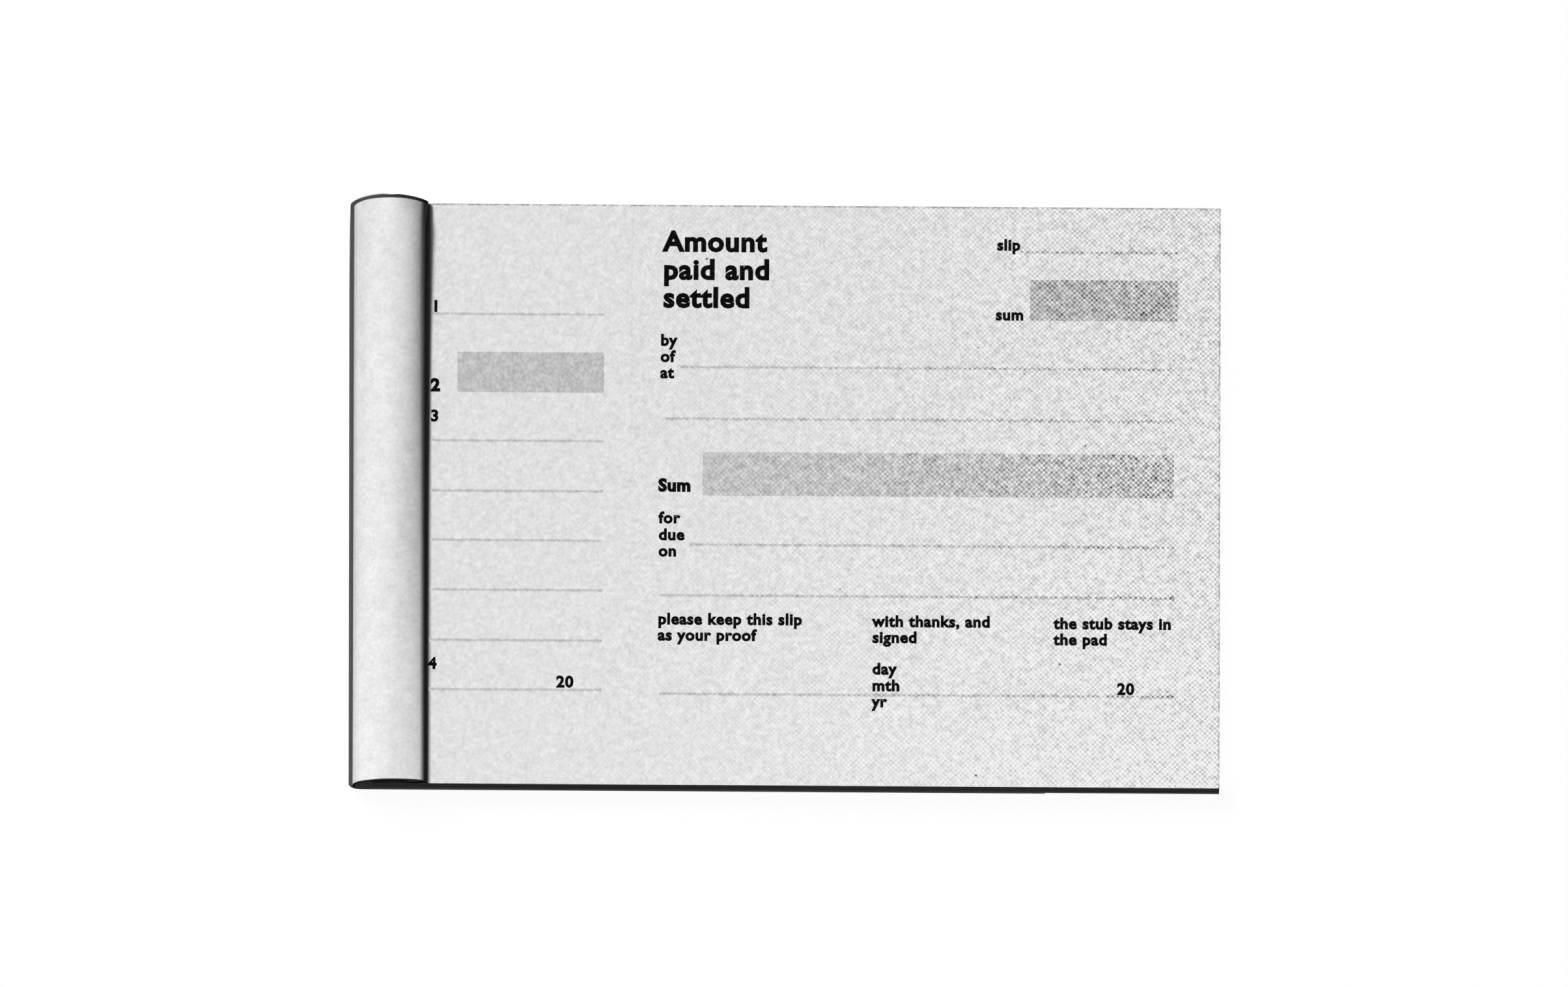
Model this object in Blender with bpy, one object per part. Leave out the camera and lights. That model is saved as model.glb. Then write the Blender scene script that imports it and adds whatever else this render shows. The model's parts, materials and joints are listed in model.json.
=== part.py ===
import math

import bmesh
import bpy
from mathutils import Matrix, Vector

MM = 0.001

# The leaves: landscape A6 sheets, bound at the left, each a stub and a receipt that tears off it.
SHEET_LENGTH = 148.0 * MM
SHEET_WIDTH = 105.0 * MM
STUB_LENGTH = 44.8 * MM
LEAF_COUNT = 40
LEAF_THICKNESS = 0.07 * MM
LEAF_GAP = 0.01 * MM

# The leaves at the top that are free to lift, each from a crease just past the rolled cover.
FAN_COUNT = 5
CREASE_CLEARANCE = 0.6 * MM
CREASE_STEP = 0.15 * MM
CREASE_GAP = 0.05 * MM

# The perforation: a row of short slits with paper ties between them.
SLIT_LENGTH = 2.7 * MM
SLIT_TIE = 0.8 * MM
SLIT_WIDTH = 0.05 * MM
TEAR_GAP = 0.03 * MM

# The card cover, folded back over the binding: its flat margin, the roll's curl, crown, back and foot.
# The roll stands higher at its far end than at its near end.
COVER_THICKNESS = 0.3 * MM
COVER_MARGIN = 7.75 * MM
CURL_RADIUS = 1.1 * MM
ROLL_RISE_NEAR = 2.6 * MM
ROLL_RISE_FAR = 6.1 * MM
ROLL_BACK_RUN = 7.8 * MM
FOOT_RUN = 3.0 * MM
FOOT_HEIGHT = 1.6 * MM
FOOT_CLEARANCE = 0.96 * MM
HINGE_GAP = 0.05 * MM
HINGE_DROP = 0.01 * MM

# The grey board under the leaves, and the strip glued round the spine.
BOARD_THICKNESS = 0.9 * MM
STRIP_THICKNESS = 0.12 * MM
STRIP_BEND = 0.05 * MM
STRIP_SETBACK = 1.5 * MM
STRIP_UNDERLAP = 8.0 * MM
LAYER_GAP = 0.02 * MM

# The two wire staples along the spine, clinched into grooves in the board.
STAPLE_INSET = 4.0 * MM
STAPLE_SPACING = 58.0 * MM
STAPLE_CROWN = 12.0 * MM
STAPLE_CLINCH = 4.0 * MM
STAPLE_WIRE = 0.5 * MM
STAPLE_BEND = 0.3 * MM
STAPLE_CLEARANCE = 0.05 * MM

# Facets along each quarter turn of the roll, of the strip's folds and of a staple's bends.
CURL_FACETS = 6
ROLL_FACETS = 14
FOOT_FACETS = 8
FOLD_FACETS = 3

# Heights of the layers, from the table up.
STRIP_BOTTOM = COVER_THICKNESS + LAYER_GAP
BOARD_BOTTOM = STRIP_BOTTOM + STRIP_THICKNESS + LAYER_GAP
BOARD_TOP = BOARD_BOTTOM + BOARD_THICKNESS
LEAF_PITCH = LEAF_THICKNESS + LEAF_GAP
COVER_SEAT = BOARD_TOP + LEAF_COUNT * LEAF_PITCH + LEAF_GAP
STRIP_TOP = COVER_SEAT + COVER_THICKNESS + LAYER_GAP + STRIP_THICKNESS
CROWN_MIDDLE = STRIP_TOP + LAYER_GAP + STAPLE_WIRE / 2
CLINCH_MIDDLE = BOARD_BOTTOM + LAYER_GAP + STAPLE_WIRE / 2

# Distances from the bound edge of the leaves, and the place of that edge with the whole pad centred.
STRIP_WRAP = LAYER_GAP + STRIP_THICKNESS
FOOT_END = -(STRIP_WRAP + FOOT_CLEARANCE)
ROLL_LEFT = FOOT_END - FOOT_RUN
ROLL_RIGHT = COVER_MARGIN + CURL_RADIUS
SPINE_X = -(SHEET_LENGTH + ROLL_LEFT) / 2
HALF_WIDTH = SHEET_WIDTH / 2

FINISHES = {
    "paper": ((0.74, 0.74, 0.73), 0.85, 0.0),
    "cover_card": ((0.78, 0.78, 0.77), 0.75, 0.0),
    "grey_board": ((0.36, 0.35, 0.33), 0.9, 0.0),
    "binding_strip": ((0.12, 0.12, 0.125), 0.8, 0.0),
    "staple_steel": ((0.55, 0.56, 0.57), 0.35, 1.0),
}


def clear_scene():
    for obj in list(bpy.data.objects):
        bpy.data.objects.remove(obj, do_unlink=True)


def finish(name):
    found = bpy.data.materials.get(name)
    if found:
        return found
    colour, roughness, metallic = FINISHES[name]
    made = bpy.data.materials.new(name)
    made.use_nodes = True
    shader = made.node_tree.nodes["Principled BSDF"]
    shader.inputs["Base Color"].default_value = (*colour, 1.0)
    shader.inputs["Roughness"].default_value = roughness
    shader.inputs["Metallic"].default_value = metallic
    return made


def pivot(name, place, parent=None):
    """An empty at a place in the world, such as on a hinge's line."""
    empty = bpy.data.objects.new(name, None)
    bpy.context.collection.objects.link(empty)
    empty.empty_display_size = STRIP_UNDERLAP
    attach(empty, place, parent)
    return empty


def attach(obj, place, parent):
    """Sets the object down at a place in the world, carried by its parent."""
    obj.parent = parent
    obj["place"] = list(place)
    start = Vector(parent["place"]) if parent else Vector((0, 0, 0))
    obj.location = Vector(place) - start


def make_object(name, shape, finish_name, parent):
    """Turns a shape that is drawn in world coordinates into an object whose origin is its parent's."""
    mesh = bpy.data.meshes.new(name)
    start = Vector(parent["place"])
    bmesh.ops.translate(shape, verts=shape.verts[:], vec=-start)
    shape.to_mesh(mesh)
    shape.free()
    obj = bpy.data.objects.new(name, mesh)
    bpy.context.collection.objects.link(obj)
    attach(obj, start, parent)
    if finish_name:
        mesh.materials.append(finish(finish_name))
    return obj


def add_block(shape, low, high):
    """One box between two corners, measured from the bound edge."""
    low, high = Vector(low), Vector(high)
    low.x += SPINE_X
    high.x += SPINE_X
    spot = Matrix.Translation((low + high) / 2)
    bmesh.ops.create_cube(shape, size=1.0, matrix=spot @ Matrix.Diagonal((*(high - low), 1.0)))


def make_slab(name, start, end, bottom, top, finish_name, parent):
    """A flat sheet over the pad's full width."""
    shape = bmesh.new()
    add_block(shape, (start, -HALF_WIDTH, bottom), (end, HALF_WIDTH, top))
    return make_object(name, shape, finish_name, parent)


def make_cutter(name, blocks, parent):
    shape = bmesh.new()
    for low, high in blocks:
        add_block(shape, low, high)
    cutter = make_object(name, shape, None, parent)
    cutter.hide_render = True
    cutter.display_type = "WIRE"
    return cutter


def cut(obj, cutter):
    slot = obj.modifiers.new(cutter.name, "BOOLEAN")
    slot.operation = "DIFFERENCE"
    slot.solver = "EXACT"
    slot.object = cutter


def make_ribbon(name, near_path, far_path, thickness, finish_name, parent):
    """A sheet between two paths of (distance, height) points, with its thickness on the paths' left side."""
    shape = bmesh.new()
    near = [shape.verts.new((SPINE_X + x, -HALF_WIDTH, z)) for x, z in near_path]
    far = [shape.verts.new((SPINE_X + x, HALF_WIDTH, z)) for x, z in far_path]
    for here in range(len(near) - 1):
        shape.faces.new((near[here], near[here + 1], far[here + 1], far[here]))
    ribbon = make_object(name, shape, finish_name, parent)
    ribbon.data.shade_smooth()
    thicken = ribbon.modifiers.new("thickness", "SOLIDIFY")
    thicken.thickness = thickness
    thicken.offset = 1.0
    thicken.use_even_offset = True
    return ribbon


def quarter(centre, run, rise, first_turn, facets):
    """Points along a quarter of an ellipse, counted in quarter turns from its right-hand end."""
    points = []
    for step in range(facets + 1):
        turn = math.pi / 2 * (first_turn + step / facets)
        points.append((centre[0] + run * math.cos(turn), centre[1] + rise * math.sin(turn)))
    return points


def path_length(points):
    return sum(math.dist(here, there) for here, there in zip(points, points[1:]))


def roll_path(rise):
    """The cover's pale face: along the margin, up round the curl, over the crown and down to the foot."""
    curl_height = COVER_SEAT + CURL_RADIUS
    peak = ROLL_LEFT + ROLL_BACK_RUN
    peak_height = COVER_SEAT + rise
    curl = quarter((COVER_MARGIN, curl_height), CURL_RADIUS, CURL_RADIUS, -1, CURL_FACETS)
    front = quarter((peak, curl_height), ROLL_RIGHT - peak, peak_height - curl_height, 0, ROLL_FACETS)
    back = quarter((peak, FOOT_HEIGHT), ROLL_BACK_RUN, peak_height - FOOT_HEIGHT, 1, ROLL_FACETS)
    foot = quarter((FOOT_END, FOOT_HEIGHT), FOOT_RUN, FOOT_HEIGHT, 2, FOOT_FACETS)
    return [(0.0, COVER_SEAT)] + curl + front[1:] + back[1:] + foot[1:]


def strip_path():
    """Over the cover's margin to the spine, down it and back under the board."""
    bend = STRIP_BEND + STRIP_THICKNESS
    top_end = COVER_MARGIN - STRIP_SETBACK
    upper = quarter((bend - STRIP_WRAP, STRIP_TOP - bend), bend, bend, 1, FOLD_FACETS)
    lower = quarter((bend - STRIP_WRAP, STRIP_BOTTOM + bend), bend, bend, 2, FOLD_FACETS)
    return [(top_end, STRIP_TOP)] + upper + lower + [(STRIP_UNDERLAP, STRIP_BOTTOM)]


def rounded(corners, radius, facets):
    """A route with each right-angled corner turned into an arc."""
    points = [corners[0]]
    for before, corner, after in zip(corners, corners[1:], corners[2:]):
        inward = (before - corner).normalized() * radius
        onward = (after - corner).normalized() * radius
        centre = corner + inward + onward
        for step in range(facets + 1):
            turn = math.pi / 2 * step / facets
            points.append(centre - onward * math.cos(turn) - inward * math.sin(turn))
    return points + [corners[-1]]


def make_staple(name, middle, parent):
    """Bent wire: crown above the strip, legs down through the pad, ends clinched towards each other."""
    leg = STAPLE_CROWN / 2
    tip = leg - STAPLE_CLINCH
    side = [(tip, CLINCH_MIDDLE), (leg, CLINCH_MIDDLE), (leg, CROWN_MIDDLE)]
    route = side + [(-y, z) for y, z in reversed(side)]
    corners = [Vector((SPINE_X + STAPLE_INSET, middle + y, z)) for y, z in route]
    wire = bpy.data.curves.new(name, "CURVE")
    wire.dimensions = "3D"
    wire.bevel_depth = STAPLE_WIRE / 2
    wire.bevel_resolution = 1
    wire.use_fill_caps = True
    points = rounded(corners, STAPLE_BEND, FOLD_FACETS)
    spline = wire.splines.new("POLY")
    spline.points.add(len(points) - 1)
    for point, place in zip(spline.points, points):
        point.co = (*place, 1.0)
    wire.materials.append(finish("staple_steel"))
    staple = bpy.data.objects.new(name, wire)
    bpy.context.collection.objects.link(staple)
    attach(staple, (0, 0, 0), parent)
    return staple


def staple_middles():
    return {"staple_near": -STAPLE_SPACING / 2, "staple_far": STAPLE_SPACING / 2}


def staple_legs():
    """Each leg's place along the spine, with the way that its end is clinched."""
    for middle in staple_middles().values():
        for side in (-1, 1):
            yield middle + side * STAPLE_CROWN / 2, -side


def leg_holes():
    half = STAPLE_WIRE / 2 + STAPLE_CLEARANCE
    low = BOARD_BOTTOM - LAYER_GAP / 2
    high = STRIP_TOP + STAPLE_WIRE
    for leg, _ in staple_legs():
        yield (STAPLE_INSET - half, leg - half, low), (STAPLE_INSET + half, leg + half, high)


def clinch_grooves():
    half = STAPLE_WIRE / 2 + STAPLE_CLEARANCE
    low = BOARD_BOTTOM - LAYER_GAP / 2
    high = CLINCH_MIDDLE + half
    for leg, way in staple_legs():
        ends = sorted((leg - way * half, leg + way * (STAPLE_CLINCH + STAPLE_CLEARANCE)))
        yield (STAPLE_INSET - half, ends[0], low), (STAPLE_INSET + half, ends[1], high)


def perforation_slits():
    pitch = SLIT_LENGTH + SLIT_TIE
    count = int((SHEET_WIDTH - SLIT_TIE) / pitch)
    first = -(count * pitch - SLIT_TIE) / 2
    low = leaf_bottom(FAN_COUNT) - LEAF_PITCH
    high = COVER_SEAT + LEAF_PITCH
    for number in range(count):
        start = first + number * pitch
        yield (
            (STUB_LENGTH - SLIT_WIDTH / 2, start, low),
            (STUB_LENGTH + SLIT_WIDTH / 2, start + SLIT_LENGTH, high),
        )


def leaf_bottom(number):
    """Height of a leaf's underside, counting from 1 at the top of the pad."""
    return BOARD_TOP + LEAF_GAP + (LEAF_COUNT - number) * LEAF_PITCH


def crease(number):
    """Distance from the bound edge at which a leaf lifts: each leaf down lifts a little further out."""
    return ROLL_RIGHT + CREASE_CLEARANCE + (number - 1) * CREASE_STEP


def make_flap(near_roll, far_roll, hinge):
    """The cover's free part, flat under the pad. Its loose edge is askew, because the roll is."""
    start = FOOT_END + HINGE_GAP
    near_end = FOOT_END + SHEET_LENGTH - path_length(near_roll)
    far_end = FOOT_END + SHEET_LENGTH - path_length(far_roll)
    outline = ((start, -HALF_WIDTH), (near_end, -HALF_WIDTH), (far_end, HALF_WIDTH), (start, HALF_WIDTH))
    shape = bmesh.new()
    underside = shape.faces.new([shape.verts.new((SPINE_X + x, y, 0)) for x, y in outline])
    raised = bmesh.ops.extrude_face_region(shape, geom=[underside])["geom"]
    corners = [item for item in raised if isinstance(item, bmesh.types.BMVert)]
    bmesh.ops.translate(shape, verts=corners, vec=(0, 0, COVER_THICKNESS))
    bmesh.ops.recalc_face_normals(shape, faces=shape.faces[:])
    return make_object("cover_flap", shape, "cover_card", hinge)


def make_cover(pad, holes):
    near_roll = roll_path(ROLL_RISE_NEAR)
    far_roll = roll_path(ROLL_RISE_FAR)
    roll = make_ribbon("cover_roll", near_roll, far_roll, COVER_THICKNESS, "cover_card", pad)
    cut(roll, holes)
    hinge = pivot("cover_hinge", (SPINE_X + FOOT_END, 0, -HINGE_DROP), pad)
    make_flap(near_roll, far_roll, hinge)


def make_binding(pad, holes, grooves):
    board = make_slab("backing_board", 0, SHEET_LENGTH, BOARD_BOTTOM, BOARD_TOP, "grey_board", pad)
    cut(board, holes)
    cut(board, grooves)
    route = strip_path()
    strip = make_ribbon("spine_strip", route, route, STRIP_THICKNESS, "binding_strip", pad)
    cut(strip, holes)
    for name, middle in staple_middles().items():
        make_staple(name, middle, pad)


def make_lifting_leaf(number, pad, holes, slits):
    """A leaf in two parts: the margin that stays in the binding, and the page that lifts from the crease."""
    name = f"leaf_{number:02d}"
    bottom = leaf_bottom(number)
    top = bottom + LEAF_THICKNESS
    line = crease(number)
    margin = make_slab(f"{name}_margin", 0, line - CREASE_GAP, bottom, top, "paper", pad)
    cut(margin, holes)
    hinge = pivot(f"{name}_crease", (SPINE_X + line, 0, top), pad)
    start = line + CREASE_GAP
    if number > 1:
        page = make_slab(f"{name}_page", start, SHEET_LENGTH, bottom, top, "paper", hinge)
        cut(page, slits)
        return
    stub_end = STUB_LENGTH - TEAR_GAP / 2
    stub = make_slab(f"{name}_stub", start, stub_end, bottom, top, "paper", hinge)
    cut(stub, slits)
    fold = pivot("receipt_fold", (SPINE_X + STUB_LENGTH, 0, top), hinge)
    receipt_start = STUB_LENGTH + TEAR_GAP / 2
    receipt = make_slab(f"{name}_receipt", receipt_start, SHEET_LENGTH, bottom, top, "paper", fold)
    cut(receipt, slits)


def make_leaves(pad, holes, slits):
    for number in range(1, LEAF_COUNT + 1):
        if number <= FAN_COUNT:
            make_lifting_leaf(number, pad, holes, slits)
            continue
        bottom = leaf_bottom(number)
        leaf = make_slab(
            f"leaf_{number:02d}", 0, SHEET_LENGTH, bottom, bottom + LEAF_THICKNESS, "paper", pad
        )
        cut(leaf, holes)


def main():
    clear_scene()
    pad = pivot("receipt_pad", (0, 0, 0))
    holes = make_cutter("staple_holes", leg_holes(), pad)
    grooves = make_cutter("clinch_cuts", clinch_grooves(), pad)
    slits = make_cutter("perforation", perforation_slits(), pad)
    make_cover(pad, holes)
    make_binding(pad, holes, grooves)
    make_leaves(pad, holes, slits)


main()
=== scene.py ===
import bpy
import json
import math
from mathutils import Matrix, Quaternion, Vector

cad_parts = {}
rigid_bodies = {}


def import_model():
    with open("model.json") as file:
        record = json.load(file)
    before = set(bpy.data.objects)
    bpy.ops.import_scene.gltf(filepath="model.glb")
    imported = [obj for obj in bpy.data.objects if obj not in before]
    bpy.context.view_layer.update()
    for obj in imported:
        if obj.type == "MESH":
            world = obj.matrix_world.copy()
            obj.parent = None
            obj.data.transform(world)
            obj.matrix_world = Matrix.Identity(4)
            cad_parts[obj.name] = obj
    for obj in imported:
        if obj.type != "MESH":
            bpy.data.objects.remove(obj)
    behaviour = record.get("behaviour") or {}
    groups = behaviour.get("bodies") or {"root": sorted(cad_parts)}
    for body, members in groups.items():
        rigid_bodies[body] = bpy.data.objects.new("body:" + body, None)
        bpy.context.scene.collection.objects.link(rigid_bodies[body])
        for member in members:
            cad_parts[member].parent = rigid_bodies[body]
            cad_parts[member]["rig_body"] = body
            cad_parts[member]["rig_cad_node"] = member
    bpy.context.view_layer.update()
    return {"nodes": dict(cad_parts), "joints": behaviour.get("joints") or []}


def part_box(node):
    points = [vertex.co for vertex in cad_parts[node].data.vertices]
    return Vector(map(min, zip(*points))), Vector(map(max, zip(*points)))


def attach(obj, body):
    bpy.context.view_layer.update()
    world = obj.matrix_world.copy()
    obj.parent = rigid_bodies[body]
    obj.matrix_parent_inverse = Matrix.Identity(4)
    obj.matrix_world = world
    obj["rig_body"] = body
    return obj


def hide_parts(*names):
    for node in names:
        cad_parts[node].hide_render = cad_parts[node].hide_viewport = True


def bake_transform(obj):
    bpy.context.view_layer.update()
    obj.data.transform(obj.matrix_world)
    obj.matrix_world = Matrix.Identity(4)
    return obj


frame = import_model()

mm = 0.001
weldGap = 0.001 * mm    # closer points are one point
nodes = frame["nodes"]
jointAt = {joint["name"]: Vector(joint["pos_m"]) for joint in frame["joints"]}
boardLow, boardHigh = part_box("backing_board")
rollLow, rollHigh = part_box("cover_roll")
flapLow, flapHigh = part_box("cover_flap")
receiptLow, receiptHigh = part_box("leaf_01_receipt")
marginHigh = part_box("leaf_01_margin")[1]
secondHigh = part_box("leaf_02_page")[1]
spineX, edgeX = boardLow.x, boardHigh.x
nearY, farY = boardLow.y, boardHigh.y
pageTop = receiptHigh.z
leafPitch = pageTop - secondHigh.z
fanCount = 5    # leaves that lift
print("frame:", len(nodes), "nodes, page top at", round(pageTop / mm, 2), "mm")


# Working by hand: select, draw, cut, thicken

def deselect():
    if bpy.context.object and bpy.context.object.mode != "OBJECT":
        bpy.ops.object.mode_set(mode="OBJECT")
    bpy.ops.object.select_all(action="DESELECT")


def choose(piece):
    deselect()
    piece.select_set(True)
    bpy.context.view_layer.objects.active = piece


def work(piece):
    choose(piece)
    bpy.ops.object.mode_set(mode="EDIT")
    bpy.ops.mesh.select_mode(type="VERT")
    bpy.ops.mesh.select_all(action="SELECT")


def stopWork():
    bpy.ops.object.mode_set(mode="OBJECT")


def pickPoints(piece, wanted):
    stopWork()
    for part in (piece.data.edges, piece.data.polygons):
        part.foreach_set("select", [False] * len(part))
    for point in piece.data.vertices:
        point.select = wanted(point.co)
    bpy.ops.object.mode_set(mode="EDIT")


def rename(piece, name):
    piece.name = name
    piece.data.name = name


def newPiece(name):
    deselect()
    bpy.ops.mesh.primitive_plane_add(size=mm)
    piece = bpy.context.object
    rename(piece, name)
    work(piece)
    bpy.ops.mesh.delete(type="VERT")    # an empty mesh at the origin, ready to draw in
    return piece


def copyPiece(piece, name):
    choose(piece)
    bpy.ops.object.duplicate()
    copy = bpy.context.object
    rename(copy, name)
    return copy


def drawLine(places):
    bpy.ops.mesh.primitive_plane_add(size=mm, location=places[0])
    bpy.ops.mesh.merge(type="CENTER")
    for here, there in zip(places, places[1:]):
        bpy.ops.mesh.extrude_vertices_move(TRANSFORM_OT_translate={"value": there - here})


def useModifier(piece, kind, **settings):
    added = piece.modifiers.new(kind.lower(), kind)
    for name, value in settings.items():
        setattr(added, name, value)
    bpy.context.view_layer.objects.active = piece
    bpy.ops.object.modifier_apply(modifier=added.name)


def applyPlace():
    bpy.ops.object.transform_apply(location=True, rotation=True, scale=True)


def weld(piece):
    work(piece)
    bpy.ops.mesh.remove_doubles(threshold=weldGap)
    stopWork()


def smooth(piece, angle):
    choose(piece)
    bpy.ops.object.shade_smooth_by_angle(angle=math.radians(angle))


def keepPlaces(piece):
    # the places at rest, so that a finish stays put on paper that bends
    rest = piece.data.attributes.new("restPlace", "FLOAT_VECTOR", "POINT")
    for point, kept in zip(piece.data.vertices, rest.data):
        kept.vector = point.co


def cutAcross(piece, places):
    work(piece)
    for x in places:
        bpy.ops.mesh.select_all(action="SELECT")
        bpy.ops.mesh.bisect(plane_co=(x, 0, 0), plane_no=(1, 0, 0), threshold=weldGap)
    stopWork()


def join(pieces, name):
    choose(pieces[0])
    for piece in pieces:
        piece.select_set(True)
    bpy.ops.object.join()
    joined = bpy.context.object
    rename(joined, name)
    return joined


def paint(piece, finish):
    piece.data.materials.clear()
    piece.data.materials.append(finish)


# Finishes

class Wire:
    # one socket; an expression written with it adds its Math nodes
    def __init__(self, maker, socket):
        self.maker = maker
        self.socket = socket

    def other(self, output):
        return Wire(self.maker, self.socket.node.outputs[output])

    def maths(self, operation, first, second=0.0):
        return self.maker.node("ShaderNodeMath", {"operation": operation}, {0: first, 1: second})

    def __add__(self, other):
        return self.maths("ADD", self, other)

    def __radd__(self, other):
        return self.maths("ADD", other, self)

    def __sub__(self, other):
        return self.maths("SUBTRACT", self, other)

    def __rsub__(self, other):
        return self.maths("SUBTRACT", other, self)

    def __mul__(self, other):
        return self.maths("MULTIPLY", self, other)

    def __rmul__(self, other):
        return self.maths("MULTIPLY", other, self)

    def __truediv__(self, other):
        return self.maths("DIVIDE", self, other)

    def __rtruediv__(self, other):
        return self.maths("DIVIDE", other, self)

    def __mod__(self, other):
        return self.maths("MODULO", self, other)

    def __rmod__(self, other):
        return self.maths("MODULO", other, self)

    def __pow__(self, other):
        return self.maths("POWER", self, other)

    def __rpow__(self, other):
        return self.maths("POWER", other, self)

    def __gt__(self, other):
        return self.maths("GREATER_THAN", self, other)

    def __lt__(self, other):
        return self.maths("LESS_THAN", self, other)

    def __abs__(self):
        return self.maths("ABSOLUTE", self)

    def most(self, other):
        return self.maths("MAXIMUM", self, other)

    def cosine(self):
        return self.maths("COSINE", self)

    def floor(self):
        return self.maths("FLOOR", self)

    def within(self, low, high):
        # 0 up to low, 1 from high on
        span = {"From Min": low, "From Max": high}
        return self.maker.node("ShaderNodeMapRange", {"clamp": True}, {"Value": self, **span})


class Maker:
    # adds nodes to one tree
    def __init__(self, tree):
        self.tree = tree

    def feed(self, socket, value):
        if isinstance(value, Wire):
            self.tree.links.new(value.socket, socket)
        else:
            socket.default_value = value

    def node(self, kind, settings=None, sockets=None, output=0):
        added = self.tree.nodes.new(kind)
        for name, value in (settings or {}).items():
            setattr(added, name, value)
        for name, value in (sockets or {}).items():
            self.feed(added.inputs[name], value)
        return Wire(self, added.outputs[output])


class Finish(Maker):
    def __init__(self, name, follows=False):
        self.material = bpy.data.materials.new(name)
        self.material.use_nodes = True
        super().__init__(self.material.node_tree)
        self.shader = self.tree.nodes["Principled BSDF"]
        if follows:
            self.place = self.node("ShaderNodeAttribute", {"attribute_name": "restPlace"}, output="Vector")
        else:
            self.place = self.node("ShaderNodeTexCoord", output="Object")

    def split(self):
        x = self.node("ShaderNodeSeparateXYZ", None, {"Vector": self.place})
        return x, x.other(1), x.other(2)

    def noise(self, scale, detail=2.0, stretch=None):
        place = self.place
        if stretch:
            place = self.node("ShaderNodeMapping", None, {"Vector": place, "Scale": stretch})
        return self.node("ShaderNodeTexNoise", None, {"Vector": place, "Scale": scale, "Detail": detail})

    def uneven(self, **noise):
        return self.noise(**noise) - 0.5    # about zero

    def specks(self, scale, size, share, finer=25):
        # small spots in a few of the cells, ragged by a noise that is so many times finer
        spot = self.node("ShaderNodeTexVoronoi", None, {"Vector": self.place, "Scale": scale})
        chance = self.node("ShaderNodeSeparateColor", None, {0: spot.other("Color")})
        ragged = spot + self.uneven(scale=scale * finer) * size
        return (ragged < size) * (chance < share)

    def dots(self, pitch):
        # a printer's screen: rows of dots at 45 degrees, from -1 between them to 1 in the middle of each
        x, y, _ = self.split()
        turn = 2 * math.pi / (pitch * math.sqrt(2))
        return (((x + y) * turn).cosine() + ((x - y) * turn).cosine()) * 0.5

    def colour(self, tone, hue=(1.0, 1.0, 1.0)):
        # 6 and 7 are the Mix node's two colours, 2 is the mixed one
        black, full = (0, 0, 0, 1), (*hue, 1)
        return self.node("ShaderNodeMix", {"data_type": "RGBA"}, {0: tone, 6: black, 7: full}, output=2)

    def bump(self, height, depth, strength):
        return self.node("ShaderNodeBump", None, {"Height": height, "Distance": depth, "Strength": strength})

    def set(self, **sockets):
        for name, value in sockets.items():
            self.feed(self.shader.inputs[name.replace("_", " ")], value)
        return self.material


screenSettings = {
    "pitch": 0.615 * mm,
    "growth": 2.05,             # weak at the bound edge, strong at the other
    "depth": 0.39,              # share of the tone at the right-hand edge
    "patches": {"scale": 480},
    "patchy": 1.1,              # stronger here and there
}


def towardsEdge(finish):
    return finish.split()[0].within(spineX, edgeX) ** screenSettings["growth"]


def screen(finish):
    s = screenSettings
    patch = 1 + finish.uneven(**s["patches"]) * s["patchy"]
    return finish.dots(s["pitch"]) * towardsEdge(finish) * patch * s["depth"]


gutterShadowSettings = {
    "farX": rollHigh.x - 0.05 * mm,     # painted shadow beside the roll: the middle of its dark line at the roll's two ends
    "nearX": rollHigh.x + 0.65 * mm,
    "half": 0.3 * mm,
    "fade": 0.65 * mm,
    "shade": 0.86,
}


# painted shadow: a dark line on the pages beside the roll
def paintedGutterShadow(x, y):
    s = gutterShadowSettings
    middle = s["nearX"] + y.within(nearY, farY) * (s["farX"] - s["nearX"])
    return 1 - abs(x - middle).within(s["half"], s["half"] + s["fade"])


paperSettings = {
    "tone": 0.8,
    "cloud": {"scale": 700, "detail": 3},
    "cloudDepth": 0.26,
    "fibre": {"scale": 1900, "detail": 3, "stretch": (1, 0.8, 1)},
    "fibreDepth": 0.4,
    "rougher": 1.9,             # how much more uneven it is at the right
    "specks": {"scale": 210, "size": 0.05, "share": 0.1},
    "speckShade": 0.75,
    "nearPaintedLight": 0.02,           # painted light: paler towards the near edge
    "cornerPaintedLight": 0.1,          # more painted light at the right of it
    "cornerFrom": farY / 2,
    "rimWidth": 0.36 * mm,      # painted shade: grey along the far and right-hand edges
    "rimFull": 0.12 * mm,
    "rimShade": 0.6,
    "edgeGapNoise": {"scale": 1400, "detail": 1},
    "edgeGapSpan": (0.36, 0.56),
    "hair": 0.01 * mm,          # what lies this near a side counts as its cut edge
    "edgeShadedTone": 0.5,            # of the cut edges, darker as painted shade
    "streak": {"scale": 1, "stretch": (60, 60, 9000)},
    "streakDepth": 0.7,         # each leaf a little different
    "bundle": {"scale": 1, "stretch": (25, 25, 1700)},
    "bundleDepth": 1.2,         # and each bundle of them
    "roughness": 0.82,
    "roughnessDepth": 0.3,
    "tooth": {"scale": 5200, "detail": 3},
    "toothBump": {"depth": 0.02 * mm, "strength": 0.35},
}


def paperGrain(finish):
    s = paperSettings
    cloud = finish.uneven(**s["cloud"]) * s["cloudDepth"]
    fibre = finish.uneven(**s["fibre"]) * s["fibreDepth"]
    return (cloud + fibre) * (1 + towardsEdge(finish) * s["rougher"])


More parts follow.
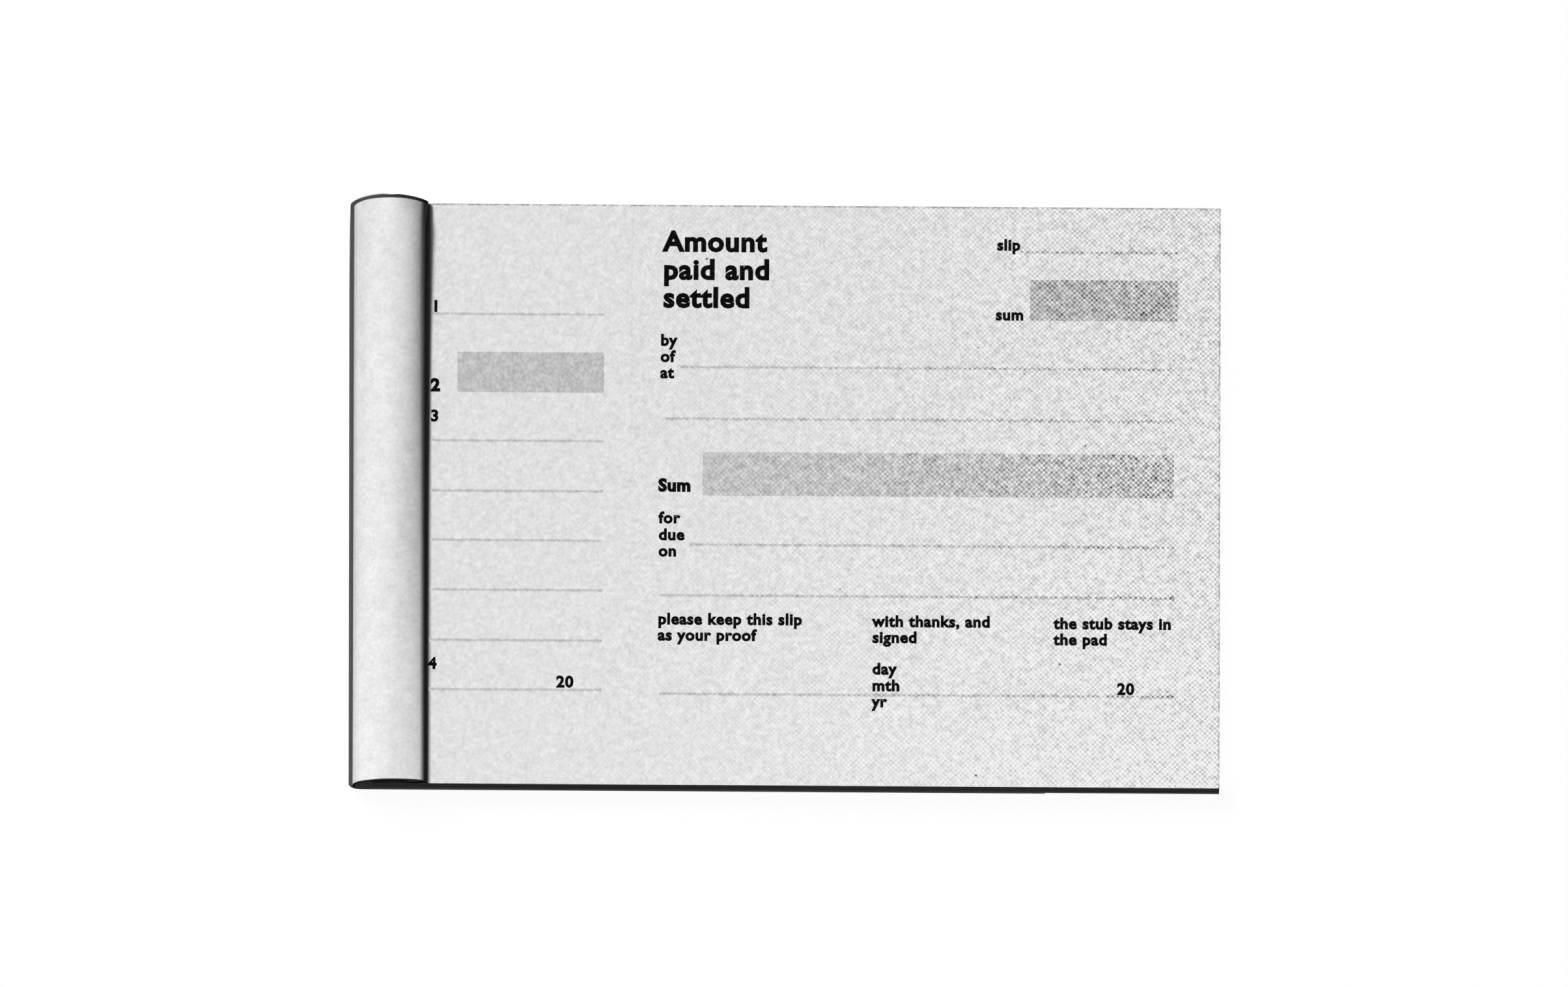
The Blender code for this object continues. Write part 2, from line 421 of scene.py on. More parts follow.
# painted shade: a broken grey line along the far and right-hand edges
def paintedEdgeShade(finish, x, y):
    s = paperSettings
    right = x.within(edgeX - s["rimWidth"], edgeX - s["rimFull"])
    far = y.within(farY - s["rimWidth"], farY - s["rimFull"])
    return right.most(far) * finish.noise(**s["edgeGapNoise"]).within(*s["edgeGapSpan"])


def cutEdges(finish, x, y, tone):
    # the sides of the block show paper's edges, not its face: streaked, and darker as painted shade
    s = paperSettings
    cut = (abs(y) > farY - s["hair"]).most(x > edgeX - s["hair"])
    streak = finish.uneven(**s["streak"]) * s["streakDepth"]
    bundle = finish.uneven(**s["bundle"]) * s["bundleDepth"]
    return tone * (1 - cut) + (1 + streak + bundle) * s["edgeShadedTone"] * cut


def paperFinish(name, follows):
    finish = Finish(name, follows)
    s = paperSettings
    x, y, _ = finish.split()
    grain = paperGrain(finish)
    # painted light: paler towards the near edge, most at the right
    lift = y.within(0, nearY) * s["nearPaintedLight"]
    lift = lift + y.within(s["cornerFrom"], nearY) * x.within(spineX, edgeX) * s["cornerPaintedLight"]
    speck = finish.specks(**s["specks"]) * s["speckShade"]
    # painted shadow on the pages beside the roll
    gutter = paintedGutterShadow(x, y) * gutterShadowSettings["shade"]
    # painted shade along the far and right-hand edges
    rim = paintedEdgeShade(finish, x, y) * s["rimShade"]
    tone = (1 + grain + screen(finish) + lift) * (1 - speck) * (1 - gutter) * (1 - rim) * s["tone"]
    if not follows:
        tone = cutEdges(finish, x, y, tone)
    return finish.set(
        Base_Color=finish.colour(tone),
        Roughness=s["roughness"] + grain * s["roughnessDepth"],
        Specular_IOR_Level=0.0,
        Normal=finish.bump(finish.noise(**s["tooth"]), **s["toothBump"]),
    )


coverRight = {"far": rollHigh.x - 0.45 * mm, "near": rollHigh.x + 0.45 * mm}     # the roll isn't quite square

cardSettings = {
    "tone": 0.82,
    "nearPaintedLight": 0.08,           # painted light: paler towards the near end
    "mottle": {"scale": 420, "detail": 3},
    "mottleDepth": 0.28,
    "grain": {"scale": 1700, "detail": 4},
    "grainDepth": 0.38,
    "dust": {"scale": 150, "size": 0.06, "share": 0.06},
    "dustLift": 0.12,
    "foldReach": 0.9 * mm,      # painted shade where it turns down to the binding
    "foldFull": 0.225 * mm,
    "endReach": 0.75 * mm,      # painted shade along its far end, from the left-hand shoulder on
    "endFrom": spineX - 3.0 * mm,
    "endFull": spineX + 3.5 * mm,
    "nearReach": 0.22 * mm,     # painted shade a little at its near end
    "endFade": 0.25,
    "endShade": 0.95,
    "roughness": 0.74,
    "roughnessDepth": 0.2,
    "fibre": {"scale": 3800, "detail": 3, "stretch": (1, 0.3, 1)},
    "fibreBump": {"depth": 0.03 * mm, "strength": 0.4},
}


# painted shade on the card: where it turns down beside the pages, along its far end, and at its near end
def paintedCardShade(x, y, z):
    s = cardSettings
    rightX = coverRight["near"] + y.within(nearY, farY) * (coverRight["far"] - coverRight["near"])
    fold = (x - rightX).within(-s["foldReach"], -s["foldFull"]) * gutterShadowSettings["shade"]
    far = x.within(s["endFrom"], s["endFull"]) - (farY - y) / s["endReach"]
    near = 1 - (y - nearY) / s["nearReach"]
    ends = far.most(near).within(0, s["endFade"]) * s["endShade"]
    return fold.most(ends) * (z > boardHigh.z)


def cardFinish():
    finish = Finish("coverCard", follows=True)
    s = cardSettings
    x, y, z = finish.split()
    mottle = finish.uneven(**s["mottle"])
    grain = finish.uneven(**s["grain"])
    # painted light: paler towards the near end
    lift = 1 + (y.within(farY, nearY) - 0.5) * s["nearPaintedLight"]
    tone = (1 + mottle * s["mottleDepth"] + grain * s["grainDepth"]) * lift * s["tone"]
    # painted shade where the card turns down and at its ends
    tone = (tone + finish.specks(**s["dust"]) * s["dustLift"]) * (1 - paintedCardShade(x, y, z))
    return finish.set(
        Base_Color=finish.colour(tone),
        Roughness=s["roughness"] + grain * s["roughnessDepth"],
        Specular_IOR_Level=0.0,
        Normal=finish.bump(finish.noise(**s["fibre"]) + grain, **s["fibreBump"]),
    )


boardSettings = {
    "tone": 0.36,
    "hue": (1.0, 0.98, 0.94),
    "pulp": {"scale": 900, "detail": 5},
    "pulpDepth": 0.35,
    "ply": {"scale": 1, "detail": 3, "stretch": (200, 200, 7000)},
    "plyDepth": 0.2,
    "dark": {"scale": 700, "size": 0.25, "share": 0.2},
    "darkDepth": 0.3,
    "pale": {"scale": 520, "size": 0.2, "share": 0.12},
    "paleDepth": 0.25,
    "roughness": 0.88,
    "roughnessDepth": 0.15,
    "gloss": 0.2,
    "pulpBump": {"depth": 0.05 * mm, "strength": 0.5},
}


def boardFinish():
    finish = Finish("greyBoard")
    s = boardSettings
    pulp = finish.uneven(**s["pulp"])
    fibres = pulp * s["pulpDepth"] + finish.uneven(**s["ply"]) * s["plyDepth"]
    flecks = finish.specks(**s["pale"]) * s["paleDepth"] - finish.specks(**s["dark"]) * s["darkDepth"]
    return finish.set(
        Base_Color=finish.colour((1 + fibres + flecks) * s["tone"], s["hue"]),
        Roughness=s["roughness"] + pulp * s["roughnessDepth"],
        Specular_IOR_Level=s["gloss"],
        Normal=finish.bump(pulp, **s["pulpBump"]),
    )


stripSettings = {
    "thread": 0.32 * mm,
    "dark": 0.05,
    "light": 0.16,
    "hue": (0.97, 0.97, 1.0),
    "wear": {"scale": 300, "detail": 4},
    "roughness": 0.85,
    "polish": 0.2,              # on top of the threads
    "gloss": 0.3,
    "threadBump": {"depth": 0.06 * mm, "strength": 0.6},
}


def stripFinish():
    # book cloth: threads along the spine and across it, over and under each other
    finish = Finish("spineCloth")
    s = stripSettings
    x, y, z = finish.split()
    along = y / s["thread"]
    across = (x - z) / s["thread"]
    over = abs((along.floor() + across.floor()) % 2)
    warp = abs((along * math.pi).cosine())
    weft = abs((across * math.pi).cosine())
    height = 1 - (warp * over + weft * (1 - over))
    tone = s["dark"] + height * finish.noise(**s["wear"]) * (s["light"] - s["dark"])
    return finish.set(
        Base_Color=finish.colour(tone, s["hue"]),
        Roughness=s["roughness"] - height * s["polish"],
        Specular_IOR_Level=s["gloss"],
        Normal=finish.bump(height, **s["threadBump"]),
    )


steelSettings = {
    "tone": 0.62,
    "hue": (0.98, 0.99, 1.0),
    "drawn": {"scale": 1, "detail": 3, "stretch": (9000, 500, 9000)},
    "drawnDepth": 0.25,
    "dull": {"scale": 700, "detail": 3},
    "dullDepth": 0.2,
    "roughness": 0.32,
    "dullRoughness": 0.25,
    "drawnRoughness": 0.15,
    "drawnBump": {"depth": 0.01 * mm, "strength": 0.3},
}


def steelFinish():
    finish = Finish("stapleSteel")
    s = steelSettings
    drawn = finish.uneven(**s["drawn"])
    dull = finish.uneven(**s["dull"])
    tone = (1 + drawn * s["drawnDepth"] + dull * s["dullDepth"]) * s["tone"]
    return finish.set(
        Base_Color=finish.colour(tone, s["hue"]),
        Metallic=1.0,
        Roughness=s["roughness"] + dull * s["dullRoughness"] + drawn * s["drawnRoughness"],
        Normal=finish.bump(drawn, **s["drawnBump"]),
    )


inkSettings = {
    "black": 0.004,
    "thin": {"scale": 3200, "detail": 3},
    "thinFrom": 0.6,            # times the black, where the ink is thickest
    "bare": (0.62, 0.8),
    "wear": 0.06,               # of the black, where the paper shows through
    "blackRoughness": 0.6,
    "tintRoughness": 0.8,
    "roughnessDepth": 0.2,
    "ruleDepth": 0.34,
    "tintGrain": 1.9,           # a grey tint shows the paper's grain and the screen more than the paper does
    "tintScreen": 2.15,
}


def blackFinish():
    finish = Finish("blackInk", follows=True)
    s = inkSettings
    thin = finish.noise(**s["thin"])
    bare = thin.within(*s["bare"]) * s["wear"]
    shade = s["black"] * (s["thinFrom"] + thin) + bare * paperSettings["tone"]
    return finish.set(
        Base_Color=finish.colour(shade),
        Roughness=s["blackRoughness"] + thin * s["roughnessDepth"],
        Specular_IOR_Level=0.0,
    )


def tintFinish(name, tone, softSides=False):
    # a grey made of dots, coarser to the right
    finish = Finish(name, follows=True)
    s = inkSettings
    grain = paperGrain(finish) * s["tintGrain"]
    shade = (1 + grain + screen(finish) * s["tintScreen"]) * tone
    if softSides:
        across = finish.node("ShaderNodeAttribute", {"attribute_name": "across"}, output="Fac")
        shade = shade * (1 - (1 - abs(across)) * s["ruleDepth"])
    return finish.set(
        Base_Color=finish.colour(shade),
        Roughness=s["tintRoughness"] + grain * s["roughnessDepth"],
        Specular_IOR_Level=0.0,
    )


sheetPaper = paperFinish("sheetPaper", follows=True)
leafPaper = paperFinish("leafPaper", follows=False)
coverCard = cardFinish()
blackInk = blackFinish()
ruleInk = tintFinish("ruleInk", paperSettings["tone"], softSides=True)
stapleSteel = steelFinish()
cadFinishes = {
    "backing_board": boardFinish(),
    "spine_strip": stripFinish(),
    "staple_near": stapleSteel,
    "staple_far": stapleSteel,
}
for name, node in nodes.items():
    for holder in node.material_slots:
        holder.material = cadFinishes.get(name, leafPaper)
print("finishes:", len(bpy.data.materials))


# The cover: one card, bound at its margin, rolled back and laid under the pad

coverSettings = {
    "curlRadius": 1.1 * mm,     # where the card leaves the binding
    "nearRise": 2.6 * mm,       # lower at the near end, and a little narrower
    "nearInset": 0.75 * mm,
    "crownSetback": 7.8 * mm,   # from the left-hand side to the crown
    "footHeight": 2.4 * mm,
    "footSeam": 0.8,            # share of the foot's bend that stays in the roll
    "footPower": 0.6,
    # sections, from the near end to the far one: the share of the way along, how the right-hand and left-hand
    # sides bend (1 is an ellipse, less is fuller, more is slacker), and how far the right-hand side flares
    "sections": [
        (0.0, 1.0, 1.0, 0.0), (0.143, 1.0, 1.0, 0.0), (0.286, 1.2, 1.0, 0.0), (0.429, 1.25, 1.0, 0.0),
        (0.571, 1.1, 1.0, 0.0), (0.714, 0.92, 1.0, 0.0), (0.857, 0.82, 1.0, 0.0), (0.96, 0.8, 1.1, 0.1 * mm),
        (1.0, 1.4, 1.3, 0.55 * mm),
    ],
    "curlSteps": 10,
    "crownSteps": 24,
    "backSteps": 28,
    "footSteps": 10,
    "cutsBetween": 3,
    "hingeReach": 0.3 * mm,
    "hingeSteps": 4,
    "flapSteps": 12,
    "waveSize": 26 * mm,
    "waveDepth": 0.3 * mm,
    "waveDetail": 1,
    "waveFade": 8.0 * mm,       # none at the far end
    "endTrim": 0.002 * mm,
    "seatGap": 0.01 * mm,       # over the top leaf's margin
    "smoothAngle": 35,
}
coverSeat = marginHigh.z + coverSettings["seatGap"]
coverThickness = flapHigh.z - flapLow.z
hinge = jointAt["cover_swing"]


def bent(value, power):
    return math.copysign(abs(value) ** power, value)


def quarter(y, centre, size, first, last, steps, power=1.0):
    # places along an ellipse, or a fuller or slacker bend; first and last count quarter turns
    places = []
    for step in range(steps + 1):
        turn = math.pi / 2 * (first + (last - first) * step / steps)
        x = centre[0] + size[0] * bent(math.cos(turn), power)
        z = centre[1] + size[1] * bent(math.sin(turn), power)
        places.append(Vector((x, y, z)))
    return places


def footBend(y, leftX, first, last):
    s = coverSettings
    size = (hinge.x - leftX, s["footHeight"])
    return quarter(y, (hinge.x, s["footHeight"]), size, first, last, s["footSteps"], s["footPower"])


def rollLine(y, rise, leftX, rightX, crownPower, backPower):
    s = coverSettings
    curl = s["curlRadius"]
    crownX = rollLow.x + s["crownSetback"]
    curlZ = coverSeat + curl
    crownZ = coverSeat + rise
    footZ = s["footHeight"]
    crownSize = (rightX - crownX, crownZ - curlZ)
    backSize = (crownX - leftX, crownZ - footZ)
    places = [Vector((spineX, y, coverSeat))]
    places += quarter(y, (rightX - curl, curlZ), (curl, curl), -1, 0, s["curlSteps"])
    places += quarter(y, (crownX, curlZ), crownSize, 0, 1, s["crownSteps"], crownPower)[1:]
    places += quarter(y, (crownX, footZ), backSize, 1, 2, s["backSteps"], backPower)[1:]
    places += footBend(y, leftX, 2, 2 + s["footSeam"])[1:]
    return places


def flapLine(y, end, leftX):
    s = coverSettings
    places = footBend(y, leftX, 2 + s["footSeam"], 3)
    for step in range(1, s["hingeSteps"] + 1):
        places.append(Vector((hinge.x + s["hingeReach"] * step / s["hingeSteps"], y, 0)))
    flat = places[-1]
    for step in range(1, s["flapSteps"] + 1):
        places.append(flat.lerp(Vector((end, y, 0)), step / s["flapSteps"]))
    return places


def lineLength(places):
    return sum((there - here).length for here, there in zip(places, places[1:]))


def makeCard(name, lines, outside):
    card = newPiece(name)
    for line in lines:
        drawLine(line)
    bpy.ops.mesh.select_all(action="SELECT")
    bpy.ops.mesh.bridge_edge_loops(number_cuts=coverSettings["cutsBetween"], interpolation="LINEAR")
    bpy.ops.mesh.select_all(action="SELECT")
    bpy.ops.mesh.normals_make_consistent(inside=False)
    stopWork()
    face = max(card.data.polygons, key=lambda found: found.center.z * outside.z)
    if face.normal.dot(outside) < 0:
        work(card)
        bpy.ops.mesh.flip_normals()
        stopWork()
    return card


def waveCrown(card):
    # a card rolled by hand isn't quite even
    s = coverSettings
    crown = card.vertex_groups.new(name="crown")
    for point in card.data.vertices:
        lift = (point.co.z - coverSeat - s["curlRadius"] / 2) / s["curlRadius"]
        weight = min(1.0, lift, (farY - point.co.y) / s["waveFade"])
        crown.add([point.index], max(0.0, weight), "REPLACE")
    wave = bpy.data.textures.new("coverWave", "CLOUDS")
    wave.noise_scale = s["waveSize"]
    wave.noise_depth = s["waveDetail"]
    useModifier(card, "DISPLACE", texture=wave, strength=s["waveDepth"], mid_level=1.0, vertex_group="crown")


def trimEnds(card):
    # the roll widens towards its far end, so its inside comes out a hair too long there
    trim = coverSettings["endTrim"]
    work(card)
    for end in (nearY + trim, farY - trim):
        bpy.ops.mesh.select_all(action="SELECT")
        bpy.ops.mesh.bisect(plane_co=(0, end, 0), plane_no=(0, math.copysign(1, end), 0),
                            use_fill=True, clear_outer=True, threshold=weldGap)
    stopWork()


def makeCover():
    s = coverSettings
    rises = s["nearRise"], rollHigh.z - coverSeat
    lefts = rollLow.x + s["nearInset"], rollLow.x
    rights = coverRight["near"], coverRight["far"]
    spans = (nearY, farY), rises, lefts, rights
    rollLines = []
    for share, crownPower, backPower, flare in s["sections"]:
        y, rise, left, right = [near + (far - near) * share for near, far in spans]
        rollLines.append(rollLine(y, rise, left, right + flare, crownPower, backPower))
    # what the roll takes up at its far end is missing at the flap's end
    skew = lineLength(rollLines[-1]) - lineLength(rollLines[0])
    flapLines = [flapLine(nearY, flapHigh.x, lefts[0]), flapLine(farY, flapHigh.x - skew, lefts[1])]
    roll = makeCard("rolled_cover", rollLines, Vector((0, 0, 1)))
    waveCrown(roll)
    flap = makeCard("cover_under_pad", flapLines, Vector((0, 0, -1)))
    for card in (roll, flap):
        useModifier(card, "SOLIDIFY", thickness=coverThickness, offset=-1.0, use_even_offset=True)
        trimEnds(card)
        smooth(card, s["smoothAngle"])
        keepPlaces(card)
        paint(card, coverCard)
    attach(roll, "pad")
    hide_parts("cover_roll")
    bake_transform(flap)
    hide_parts("cover_flap")
    return roll, flap


coverRoll, coverFlap = makeCover()
print("cover:", len(coverRoll.data.polygons), "and", len(coverFlap.data.polygons), "faces")


# The leaves that lift: each sheet is cut across in steps where it leaves the binding

leafSettings = {
    "bendRun": 9.0 * mm,
    "bendSteps": 16,
    "edgeReach": 0.005 * mm,    # a cut edge's points lie this close to its place
    "slitReach": 0.02 * mm,     # and those of the slits this close
    "slitClose": 0.036 * mm,    # how far a slit's edge is drawn out
    "tieGap": 0.002 * mm,       # left between the stub and the receipt
    "smoothAngle": 30,
}


def leafBody(number):
    return "leaf_01_stub" if number == 1 else f"leaf_{number:02d}_page"


def creaseX(number):
    return jointAt[f"leaf_{number:02d}_turn"].x


def bendPlaces(number):
    s = leafSettings
    return [creaseX(number) + s["bendRun"] * step / s["bendSteps"] for step in range(1, s["bendSteps"] + 1)]


def hangFrom(piece):
    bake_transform(piece)


def copyNode(name, pieceName):
    piece = copyPiece(nodes[name], pieceName)
    bpy.ops.object.parent_clear(type="CLEAR")
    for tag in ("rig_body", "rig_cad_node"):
        del piece[tag]
    weld(piece)
    return piece


def reachOut(piece, low, high, distance):
    # draws one cut edge out, to meet the paper that it was cut from
    work(piece)
    pickPoints(piece, lambda place: low < place.x < high)
    bpy.ops.transform.translate(value=(distance, 0, 0))
    stopWork()


def makeLeaf(number):
    s = leafSettings
    name = leafBody(number)
    low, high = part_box(name)
    near, deep = s["edgeReach"], s["slitReach"]
    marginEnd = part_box(f"leaf_{number:02d}_margin")[1].x
    leaf = copyNode(name, f"leaf_{number:02d}_sheet")
    reachOut(leaf, low.x - near, low.x + near, marginEnd - low.x)
    if number == 1:
        # the paper ties meet, and the slits between them are knife cuts
        reachOut(leaf, high.x - deep, high.x - near, s["slitClose"])
        reachOut(leaf, high.x - near, high.x + near, receiptLow.x - high.x - s["tieGap"])
    cutAcross(leaf, [creaseX(number)] + bendPlaces(number))
    smooth(leaf, s["smoothAngle"])
    keepPlaces(leaf)
    paint(leaf, sheetPaper)
    hangFrom(leaf)
    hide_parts(name)


for number in range(1, fanCount + 1):
    makeLeaf(number)
print("leaves:", fanCount, "sheets that bend")


# The printed form, in millimetres from the bound edge and down from the far edge

formSettings = {
    "inkHeight": 0.006 * mm,
    "curveSteps": 3,
    "spacing": 1.08,
    "shift": -0.4,      # the whole print sits a little to the left
    "ruleWidth": 0.7,
    "corner": 0.15,
    "cornerSteps": 2,
    # letters: their size and added weight
    "styles": {"heading": (5.1, 0.21), "strong": (3.1, 0.18), "plain": (2.85, 0.13), "small": (2.8, 0.13)},
    # each word: its letters, the place of its left end and foot, its style
    "receiptWords": [
        ("Amount", 50.7, 8.3, "heading"), ("paid and", 50.7, 13.4, "heading"),
        ("settled", 50.7, 18.5, "heading"),
        ("slip", 109.2, 7.8, "small"), ("sum", 109.0, 20.5, "small"),
        ("by", 50.3, 25.5, "plain"), ("of", 50.3, 28.45, "plain"), ("at", 50.3, 31.4, "plain"),
        ("Sum", 50.1, 51.9, "strong"),
        ("for", 50.2, 57.7, "plain"), ("due", 50.2, 60.75, "plain"), ("on", 50.2, 63.7, "plain"),
        ("please keep this slip", 50.2, 76.0, "plain"), ("as your proof", 50.2, 78.9, "plain"),
        ("with thanks, and", 87.7, 76.2, "plain"), ("signed", 87.7, 79.1, "plain"),
        ("the stub stays in", 119.4, 76.4, "plain"), ("the pad", 119.4, 79.3, "plain"),
        ("day", 87.7, 84.8, "plain"), ("mth", 87.7, 87.8, "plain"), ("yr", 87.7, 90.7, "plain"),
        ("20", 130.5, 88.2, "plain"),
    ],
    "stubWords": [
        ("1", 10.1, 19.6, "plain"), ("2", 10.1, 34.0, "strong"), ("3", 10.1, 39.5, "plain"),
        ("4", 10.1, 84.3, "plain"), ("20", 32.5, 87.5, "plain"),
    ],
    # each rule: its two ends, then how far down
    "receiptRules": [
        (113.1, 140.9, 8.2), (53.6, 140.4, 29.4), (51.2, 140.4, 38.8),
        (55.6, 140.4, 61.6), (50.4, 140.4, 70.8), (50.4, 140.4, 88.6),
    ],
    "stubRules": [(10.2, 40.4, down) for down in (20.0, 43.0, 52.1, 61.0, 70.0, 79.1, 88.0)],
    # each tint: left, right, top, bottom, tone
    "receiptTints": [(115.0, 140.9, 13.2, 20.6, 0.5), (57.8, 140.3, 44.8, 52.7, 0.59)],
    "stubTints": [(14.7, 40.4, 26.9, 34.2, 0.56)],
}


def onPage(x, down, height=0.0):
    return Vector((spineX + (x + formSettings["shift"]) * mm, farY - down * mm, pageTop + height))


def printWord(letters, x, down, style):
    s = formSettings
    size, weight = s["styles"][style]
    deselect()
    bpy.ops.object.text_add()
    word = bpy.context.object
    word.data.body = letters
    word.data.size = size * mm
    word.data.offset = weight * mm
    word.data.extrude = s["inkHeight"] / 2
    word.data.resolution_u = s["curveSteps"]
    word.data.space_character = s["spacing"]
    word.location = onPage(x, down, s["inkHeight"] / 2)
    bpy.ops.object.convert(target="MESH")
    word = bpy.context.object
    applyPlace()
    weld(word)
    return word


def roundCorners(block):
    # ink doesn't fill a corner
    s = formSettings
    work(block)
    bpy.ops.mesh.select_mode(type="EDGE")
    bpy.ops.mesh.select_all(action="DESELECT")
    stopWork()
    places = block.data.vertices
    for edge in block.data.edges:
        first, second = [places[index].co for index in edge.vertices]
        edge.select = abs(first.z - second.z) > s["inkHeight"] / 2
    bpy.ops.object.mode_set(mode="EDIT")
    bpy.ops.mesh.bevel(offset=s["corner"] * mm, segments=s["cornerSteps"], affect="EDGES")
    stopWork()


def printBlock(left, right, top, bottom):
    height = formSettings["inkHeight"]
    deselect()
    middle = (onPage(left, top, height / 2) + onPage(right, bottom, height / 2)) / 2
    size = ((right - left) * mm, (bottom - top) * mm, height)
    bpy.ops.mesh.primitive_cube_add(size=1, location=middle, scale=size)
    applyPlace()
    block = bpy.context.object
    roundCorners(block)
    return block


def printRule(left, right, down):
    # its long sides are marked, so that the grey can fade towards them
    half = formSettings["ruleWidth"] / 2
    rule = printBlock(left, right, down - half, down + half)
    across = rule.data.attributes.new("across", "FLOAT", "POINT")
    for point, mark in zip(rule.data.vertices, across.data):
        mark.value = (point.co.y - onPage(left, down).y) / (half * mm)
    return rule


def printPart(part):
    # the words, rules and tints of one part of the form
    s = formSettings
    words = join([printWord(*word) for word in s[part + "Words"]], f"leaf_01_{part}_words")
    rules = join([printRule(*rule) for rule in s[part + "Rules"]], f"leaf_01_{part}_rules")
    paint(words, blackInk)
    paint(rules, ruleInk)
    prints = [words, rules]
    for count, (left, right, top, bottom, tone) in enumerate(s[part + "Tints"], 1):
        tint = printBlock(left, right, top, bottom)
        rename(tint, f"leaf_01_{part}_tint_{count}")
        paint(tint, tintFinish(f"{part}Tint{count}", tone))
        prints.append(tint)
    return prints


def copyPrints(prints, number):
    copies = []
    for piece in prints:
        copy = copyPiece(piece, piece.name.replace("leaf_01", f"leaf_{number:02d}"))
        copy.location.z = -leafPitch * (number - 1)
        applyPlace()
        copies.append(copy)
    return copies


def makePrint():
    stubPrints = printPart("stub")
    receiptPrints = printPart("receipt")
    leaves = {number: copyPrints(stubPrints + receiptPrints, number) for number in range(2, fanCount + 2)}
    leaves[1] = stubPrints
    for number, prints in leaves.items():
        for piece in prints:
            if number > fanCount:
                keepPlaces(piece)
                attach(piece, "pad")    # the first leaf that stays down
                continue
            cutAcross(piece, bendPlaces(number))
            keepPlaces(piece)
            hangFrom(piece)
    for piece in receiptPrints:
        keepPlaces(piece)
        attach(piece, "leaf_01_receipt")
    return sum(len(prints) for prints in leaves.values()) + len(receiptPrints)


print("print:", makePrint(), "pieces")


# The table, the lamps and the camera

tableSettings = {
    "size": 12.0,
    "drop": 0.34 * mm,      # under the cover when it swings out
    "tone": 0.8,
    "shade": 0.02,          # what it gives back to the pad
}


def makeTable():
    s = tableSettings
    deselect()
    bpy.ops.mesh.primitive_plane_add(size=s["size"], location=(0, 0, -s["drop"]))
    table = bpy.context.object
    table.name = "table"
    finish = Finish("paleTable")
    finish.set(Base_Color=(s["tone"], s["tone"], s["tone"], 1), Roughness=1.0, Specular_IOR_Level=0.0)
    dim = finish.node("ShaderNodeBsdfDiffuse", None, {"Color": (s["shade"], s["shade"], s["shade"], 1)})
    path = finish.node("ShaderNodeLightPath", output="Is Diffuse Ray")
    pale = Wire(finish, finish.shader.outputs["BSDF"])
    seen = finish.node("ShaderNodeMixShader", None, {0: path, 1: pale, 2: dim})
    finish.feed(finish.tree.nodes["Material Output"].inputs["Surface"], seen)
    paint(table, finish.material)
    return table


lampSettings = {
    "keyBox": {"place": (-3.85, 2.4, 6.75), "size": (1.2, 1.2), "power": 552.0},
    "fillBox": {"place": (-1.2, 1.6, 2.4), "size": (2.4, 2.4), "power": 21.0},
    "sideBox": {"place": (3.6, 1.2, 0.25), "size": (1.0, 0.5), "power": 42.0},
    "roomDome": {"place": (0.0, 0.0, 1.0), "power": 0.19, "spread": 170.0},
    "tableSun": {"place": (0.24, -0.285, 1.0), "power": 4.0, "spread": 1.4},
    "tableFill": {"place": (-0.7, 0.7, 1.0), "power": 0.28, "spread": 40.0},
}


def makeLamp(name, kind):
    s = lampSettings[name]
    deselect()
    bpy.ops.object.light_add(type=kind, location=s["place"])
    lamp = bpy.context.object
    rename(lamp, name)
    lamp.data.energy = s["power"]
    lamp.rotation_euler = Vector(s["place"]).to_track_quat("Z", "Y").to_euler()
    lamp.visible_camera = False
    return lamp


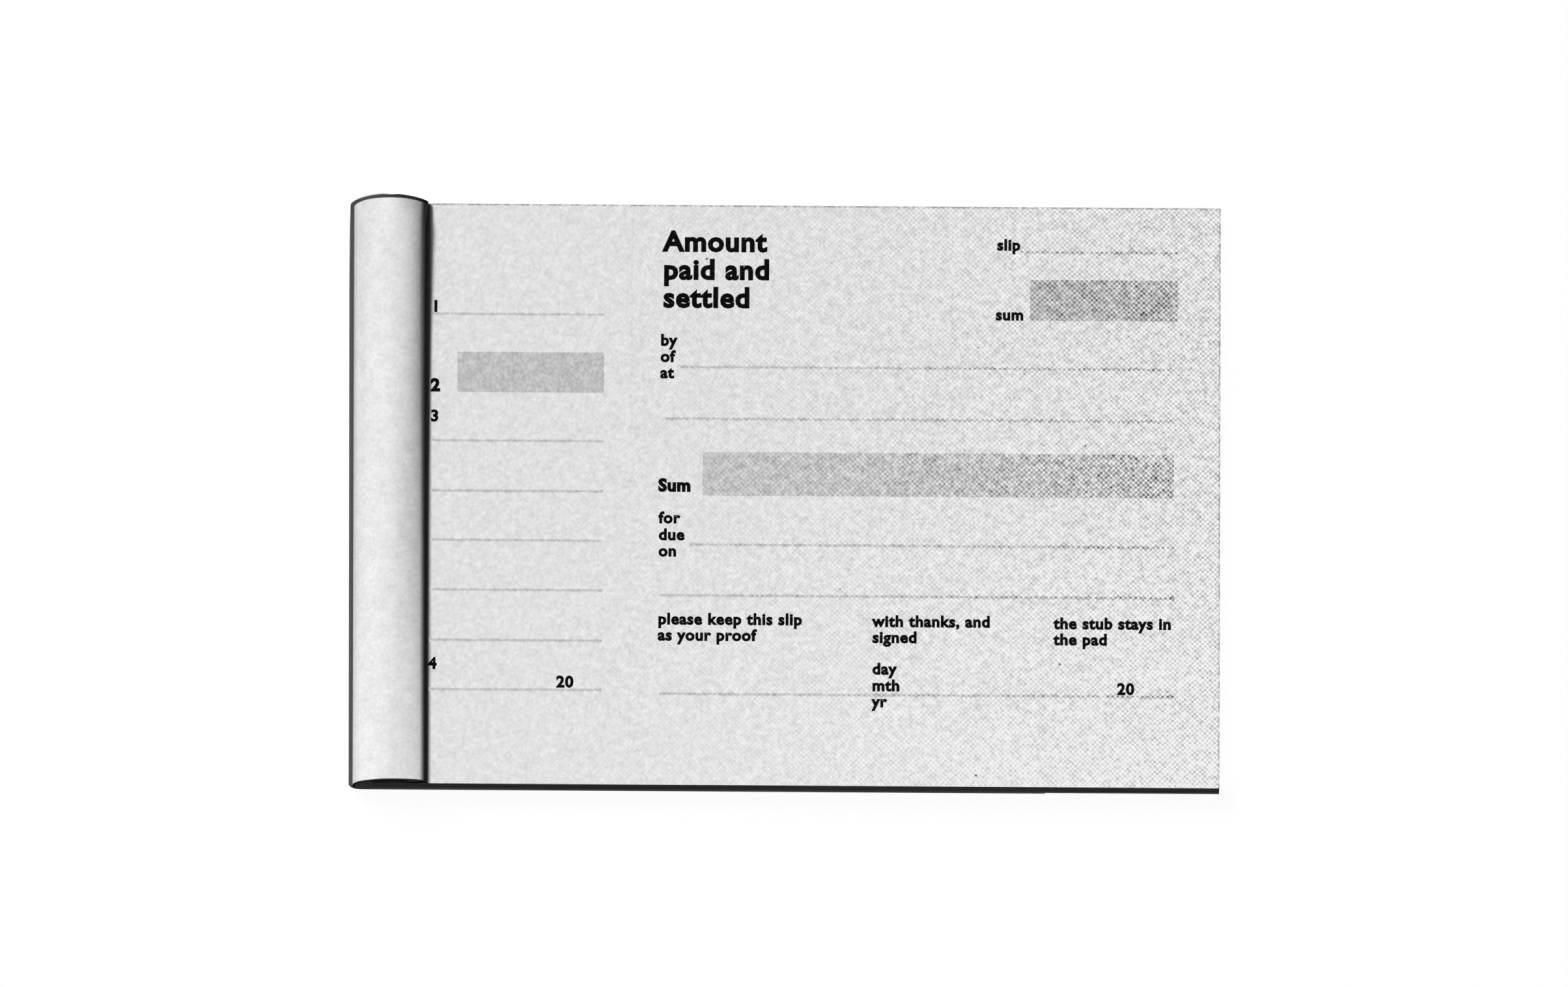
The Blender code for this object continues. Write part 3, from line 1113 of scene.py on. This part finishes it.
def linkLamp(lamp, pieces, state):
    # a lamp that lights only these pieces, or all but these
    lit = bpy.data.collections.new(lamp.name + "Lit")
    for piece in pieces:
        lit.objects.link(piece)
    for linked in lit.collection_objects:
        linked.light_linking.link_state = state
    lamp.light_linking.receiver_collection = lit


def makeLamps(table):
    s = lampSettings
    unlit = {"keyBox": [table], "fillBox": [table], "sideBox": [table, coverRoll]}
    for name, pieces in unlit.items():
        box = makeLamp(name, "AREA")
        box.data.shape = "RECTANGLE"
        box.data.size, box.data.size_y = s[name]["size"]
        linkLamp(box, pieces, "EXCLUDE")
    for name, state in (("roomDome", "EXCLUDE"), ("tableSun", "INCLUDE"), ("tableFill", "INCLUDE")):
        sun = makeLamp(name, "SUN")
        sun.data.angle = math.radians(s[name]["spread"])
        linkLamp(sun, [table], state)


def makeRoom():
    # white to the camera and in reflections; the lamps do the lighting
    world = bpy.data.worlds.new("room")
    bpy.context.scene.world = world
    world.use_nodes = True
    room = Maker(world.node_tree)
    path = room.node("ShaderNodeLightPath", output="Is Camera Ray")
    seen = path.most(path.other("Is Glossy Ray")).most(path.other("Is Transmission Ray"))
    back = room.tree.nodes["Background"]
    room.feed(back.inputs["Color"], (1, 1, 1, 1))
    room.feed(back.inputs["Strength"], seen)


cameraSettings = {
    "elevation": 74.95,     # degrees, as the turn is
    "distance": 5.0,
    "frameWidth": 274.6 * mm,
    "turn": 0.37,
    "aim": (-0.28 * mm, 0.94 * mm, 2.0 * mm),
    "sensor": 36.0,
}


def makeCamera():
    s = cameraSettings
    up = math.radians(s["elevation"])
    back = Vector((0, -math.cos(up), math.sin(up)))
    deselect()
    bpy.ops.object.camera_add(location=Vector(s["aim"]) + back * s["distance"])
    camera = bpy.context.object
    level = back.to_track_quat("Z", "Y")
    camera.rotation_euler = (level @ Quaternion((0, 0, 1), math.radians(s["turn"]))).to_euler()
    camera.data.sensor_width = s["sensor"]
    camera.data.lens = s["sensor"] * s["distance"] / s["frameWidth"]
    bpy.context.scene.camera = camera


table = makeTable()
makeLamps(table)
makeRoom()
makeCamera()
bpy.context.scene.view_settings.view_transform = "Standard"
print("table, lamps and camera in place")
